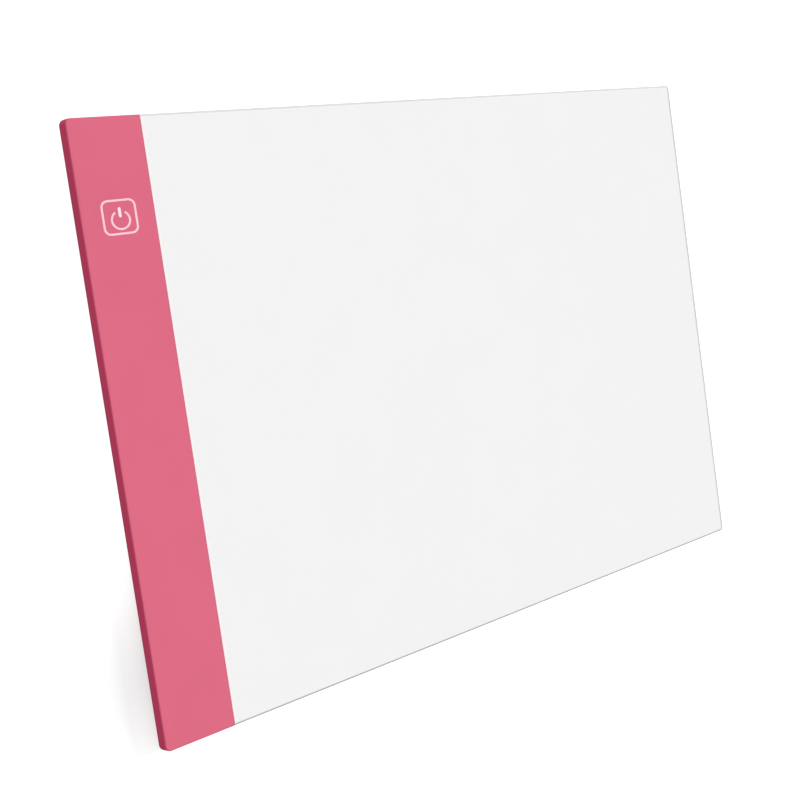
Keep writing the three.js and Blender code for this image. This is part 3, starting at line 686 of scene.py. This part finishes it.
def housing_back():
    """White moulding, cut from one block: tray, strip floor, socket sill and the feet's recesses."""
    top = shell_high.z
    block = slab(body_low, Vector((body_high.x, body_high.y, top)), CORNER, BACK_EDGE)
    piece = mesh_piece(block, "housing_back")
    left, far = body_low.x - OVERSHOOT, body_high.y + OVERSHOOT
    strip_left, strip_far = body_low.x + COVER_WALL + LAP, body_high.y - COVER_WALL - LAP
    well_right, well_far = body_high.x - FRAME_WALL, body_high.y - FRAME_WALL
    sill_half = SOCKET_WIDTH / 2 + PORT_SIDE - LAP
    sill_left, sill_right = socket_x - sill_half, socket_x + sill_half
    cover_walls = [
        [(sill_right, strip_far), (plate_left, strip_far), (plate_left, far), (sill_right, far)],
        [
            (plate_left, -far), (plate_left, -strip_far), (strip_left, -strip_far),
            (strip_left, strip_far), (sill_left, strip_far), (sill_left, far), (left, far), (left, -far),
        ],
    ]
    cut_out(piece, blocks(cover_walls, body_low.z - OVERSHOOT, top + OVERSHOOT))
    inside = [
        (left, -far), (plate_left, -far), (plate_left, -well_far), (well_right, -well_far),
        (well_right, well_far), (plate_left, well_far), (plate_left, far), (left, far),
    ]
    cut_out(piece, blocks([inside], body_low.z + FLOOR, top + OVERSHOOT))
    cut_out(piece, port_cutter(socket_low.z - PORT_GAP, body_high.z))
    for x, y in foot_places():
        cut_out(piece, recess_cutter(x, y))
    finish(piece, white_abs, "white_housing", "back_shell", break_edges=TRAY_BREAK)


housing_back()


# Feet

def foot(number, x, y):
    """A turned rubber disc with a rounded rim and a hollow sole."""
    top = body_low.z + FOOT_RECESS
    ring = FOOT_RADIUS - FOOT_EDGE - FOOT_RING
    outline = [(0, FOOT_CUP), (ring, FOOT_CUP), (ring + FOOT_CUP, 0), (FOOT_RADIUS - FOOT_EDGE, 0)]
    for step in range(1, EDGE_STEPS + 1):
        angle = step / EDGE_STEPS * pi / 2
        outline.append((FOOT_RADIUS - FOOT_EDGE * (1 - sin(angle)), FOOT_EDGE * (1 - cos(angle))))
    outline += [(FOOT_RADIUS, top), (0, top)]
    bm = bmesh.new()
    points = [bm.verts.new((x + r, y, z)) for r, z in outline]
    edges = [bm.edges.new(pair) for pair in zip(points, points[1:])]
    bmesh.ops.spin(
        bm, geom=points + edges, cent=(x, y, 0), axis=(0, 0, 1), angle=2 * pi, steps=TURN_STEPS,
        use_merge=True,
    )
    bmesh.ops.remove_doubles(bm, verts=bm.verts, dist=TINY)
    bmesh.ops.recalc_face_normals(bm, faces=bm.faces)
    finish(mesh_piece(bm, f"rubber_foot_{number}"), grey_silicone, "foot_rubber", f"foot_{number}")


for number, (x, y) in enumerate(foot_places(), 1):
    foot(number, x, y)


# Power socket

def socket_tube():
    """Stamped socket shell: wide side up, its lower corners cut back."""
    half = SOCKET_WIDTH / 2
    low, high = socket_low.z, socket_high.z
    corners = [
        (-half + SOCKET_BEVEL_RUN, low), (half - SOCKET_BEVEL_RUN, low),
        (half, low + SOCKET_BEVEL_RISE), (half, high), (-half, high), (-half, low + SOCKET_BEVEL_RISE),
    ]
    bm = bmesh.new()
    section = bm.faces.new([bm.verts.new((socket_x + x, socket_low.y, z)) for x, z in corners])
    bevel(bm, section.verts[:], SOCKET_ROUND, EDGE_STEPS, "VERTICES")
    pull(bm, bm.faces[:], (0, socket_high.y - socket_low.y, 0))
    bm.normal_update()
    ends = [f for f in bm.faces if abs(f.normal.y) > FACING]
    bmesh.ops.delete(bm, geom=ends, context="FACES_ONLY")
    bmesh.ops.recalc_face_normals(bm, faces=bm.faces)
    piece = mesh_piece(bm, "socket_shell")
    wall = piece.modifiers.new("wall", "SOLIDIFY")
    wall.thickness = SOCKET_WALL
    wall.offset = -1
    settle(piece)
    finish(piece, nickel, "steel", "usb_shell", break_edges=SOCKET_BREAK)


socket_tube()


# Printed power symbol

def printed(bm, name, ink, inwards, down):
    """Stretches flat artwork, pulls it up to the ink's thickness and lays it on the strip."""
    bmesh.ops.scale(bm, vec=(SYMBOL_STRETCH, 1, 1), verts=bm.verts)
    bmesh.ops.recalc_face_normals(bm, faces=bm.faces)
    pull(bm, bm.faces[:], (0, 0, INK))
    place = (body_low.x + inwards, body_high.y - down, body_high.z)
    bmesh.ops.translate(bm, vec=place, verts=bm.verts)
    bmesh.ops.recalc_face_normals(bm, faces=bm.faces)
    finish(mesh_piece(bm, name), ink, "white_housing")


def rounded_patch(width, height, corner):
    """Flat artwork: a rectangle with rounded corners."""
    bm = bmesh.new()
    bmesh.ops.create_grid(bm, x_segments=1, y_segments=1, size=0.5)
    bmesh.ops.scale(bm, vec=(width, height, 1), verts=bm.verts)
    bevel(bm, bm.verts[:], corner, CORNER_STEPS, "VERTICES")
    return bm


def key_outline():
    """The rounded square round the symbol."""
    bm = rounded_patch(OUTLINE_SIDE, OUTLINE_SIDE, OUTLINE_ROUND)
    middle = bm.faces[:]
    bmesh.ops.inset_region(
        bm, faces=middle, thickness=SYMBOL_LINE, use_boundary=True, use_even_offset=True
    )
    bmesh.ops.delete(bm, geom=middle, context="FACES")
    printed(bm, "key_outline", fine_ink, OUTLINE_IN, OUTLINE_DOWN)


def key_ring():
    """The ring with its gap at the top."""
    bm = bmesh.new()
    ends = [bm.verts.new((0, RING_ACROSS / 2 - back, 0)) for back in (0, SYMBOL_LINE)]
    line = bm.edges.new(ends)
    bmesh.ops.rotate(bm, cent=(0, 0, 0), matrix=Matrix.Rotation(RING_GAP / 2, 3, "Z"), verts=ends)
    bmesh.ops.spin(
        bm, geom=ends + [line], cent=(0, 0, 0), axis=(0, 0, 1), angle=2 * pi - RING_GAP,
        steps=TURN_STEPS,
    )
    printed(bm, "key_ring", fine_ink, RING_IN, RING_DOWN)


def key_stroke():
    """The upright stroke in the ring's gap."""
    bm = rounded_patch(STROKE_WIDTH, STROKE_LOW - STROKE_TOP, STROKE_ROUND)
    printed(bm, "key_stroke", broad_ink, STROKE_IN, (STROKE_LOW + STROKE_TOP) / 2)


key_outline()
key_ring()
key_stroke()


# Finishes of the pieces that the frame brings

def dress(surface, *nodes):
    """Gives one finish to nodes of the frame."""
    for node in nodes:
        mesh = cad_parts[node].data
        mesh.materials.clear()
        mesh.materials.append(surface)


dress(white_abs, "back_shell")
dress(pink_abs_painted_shade, "strip_cover")
dress(opal_acrylic, "front_plate")
dress(grey_silicone, "foot_1", "foot_2", "foot_3", "foot_4")
dress(nickel, "usb_shell")
dress(milky_tape, "front_tape", "led_board_tape")
dress(white_film, "reflector_sheet", "diffuser_sheet")
dress(guide_acrylic, "light_guide")
dress(white_mask, "led_board")
dress(green_mask, "control_board")
dress(grey_foam, "touch_electrode")
dress(black_moulding, "touch_chip", "led_driver", "usb_insulator")
dress(black_moulding, "resistor_1", "resistor_2", "resistor_3")
dress(fired_ceramic, "driver_capacitor")
dress(gold_flash, *[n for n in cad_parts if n.startswith("usb_contact_")])
dress(lamp_white, *[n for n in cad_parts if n.startswith("led_") and n[4:].isdigit()])
dress(red_sleeve, "lead_red")
dress(black_sleeve, "lead_black")


# Floor and light

def studio_floor():
    """A white shooting table and backdrop that glow, with painted shade by the pad's near left corner,
    where the glow is a little less.
    """
    tone = (FLOOR_TONE,) * 3
    made, tree, shader = material("studio_floor", tone, 0.9)
    shader.inputs["Specular IOR Level"].default_value = 0
    tint(tree, shader, noise(tree, FLOOR_SCALE, FLOOR_DETAIL), *shades(tone, 0.01))
    # Painted shade: the glow fades from GLOW_MOST to GLOW_LEAST towards a point by the pad's near left
    # corner
    place = tree.nodes.new("ShaderNodeTexCoord")
    centre = tree.nodes.new("ShaderNodeMapping")
    centre.vector_type = "TEXTURE"
    centre.inputs["Location"].default_value = (body_low.x - GLOW_IN, body_low.y + GLOW_UP, 0)
    centre.inputs["Scale"].default_value = (GLOW_REACH,) * 3
    ball = tree.nodes.new("ShaderNodeTexGradient")
    ball.gradient_type = "SPHERICAL"
    fade = tree.nodes.new("ShaderNodeMapRange")
    fade.interpolation_type = "SMOOTHSTEP"
    fade.inputs["To Min"].default_value = GLOW_MOST
    fade.inputs["To Max"].default_value = GLOW_LEAST
    tree.links.new(place.outputs["Object"], centre.inputs["Vector"])
    tree.links.new(centre.outputs["Vector"], ball.inputs["Vector"])
    tree.links.new(ball.outputs["Fac"], fade.inputs["Value"])
    tree.links.new(fade.outputs["Result"], shader.inputs["Emission Strength"])
    shader.inputs["Emission Color"].default_value = (1, 1, 1, 1)
    bm = bmesh.new()
    bmesh.ops.create_grid(bm, x_segments=FLOOR_SQUARES, y_segments=FLOOR_SQUARES, size=FLOOR_REACH)
    floor = mesh_piece(bm, "floor")
    bm = bmesh.new()
    bmesh.ops.create_circle(bm, segments=BACKDROP_STEPS, radius=FLOOR_REACH)
    drawn = bmesh.ops.extrude_edge_only(bm, edges=bm.edges[:])["geom"]
    moved = [v for v in drawn if isinstance(v, bmesh.types.BMVert)]
    bmesh.ops.translate(bm, vec=(0, 0, BACKDROP_HEIGHT), verts=moved)
    backdrop = mesh_piece(bm, "backdrop")
    backdrop.visible_shadow = False
    for piece in (floor, backdrop):
        piece.data.materials.append(made)
        piece.visible_diffuse = False
        piece.visible_glossy = False


def soft_sun(name, energy, height, turn):
    """A soft sun at an angle above the floor, turned round from the pad's right side."""
    data = bpy.data.lights.new(name, "SUN")
    data.energy = energy
    data.angle = SUN_SOFTNESS
    light = bpy.data.objects.new(name, data)
    light.rotation_euler = (0, radians(90) - height, turn)
    light.visible_glossy = False
    bpy.context.collection.objects.link(light)


def studio():
    """Soft light all round, strongest from above and the pad's upper end, with two soft suns."""
    world = bpy.data.worlds.new("studio")
    bpy.context.scene.world = world
    world.use_nodes = True
    tree = world.node_tree
    background = tree.nodes["Background"]
    background.inputs["Color"].default_value = (1, 1, 1, 1)
    place = tree.nodes.new("ShaderNodeTexCoord")
    lean = tree.nodes.new("ShaderNodeMapping")
    lean.inputs["Rotation"].default_value = (LIGHT_LEAN, 0, 0)
    axes = tree.nodes.new("ShaderNodeSeparateXYZ")
    fade = tree.nodes.new("ShaderNodeMapRange")
    fade.interpolation_type = "SMOOTHSTEP"
    fade.inputs["From Min"].default_value = LIGHT_LOW_SHARE
    fade.inputs["To Min"].default_value = LIGHT_BELOW
    fade.inputs["To Max"].default_value = LIGHT_ABOVE
    tree.links.new(place.outputs["Generated"], lean.inputs["Vector"])
    tree.links.new(lean.outputs["Vector"], axes.inputs["Vector"])
    tree.links.new(axes.outputs["Z"], fade.inputs["Value"])
    tree.links.new(fade.outputs["Result"], background.inputs["Strength"])
    soft_sun("key", KEY_LIGHT, KEY_HEIGHT_ANGLE, KEY_TURN)
    soft_sun("fill", FILL_LIGHT, FILL_HEIGHT_ANGLE, FILL_TURN)
    bpy.context.scene.view_settings.view_transform = "Standard"


studio_floor()
studio()
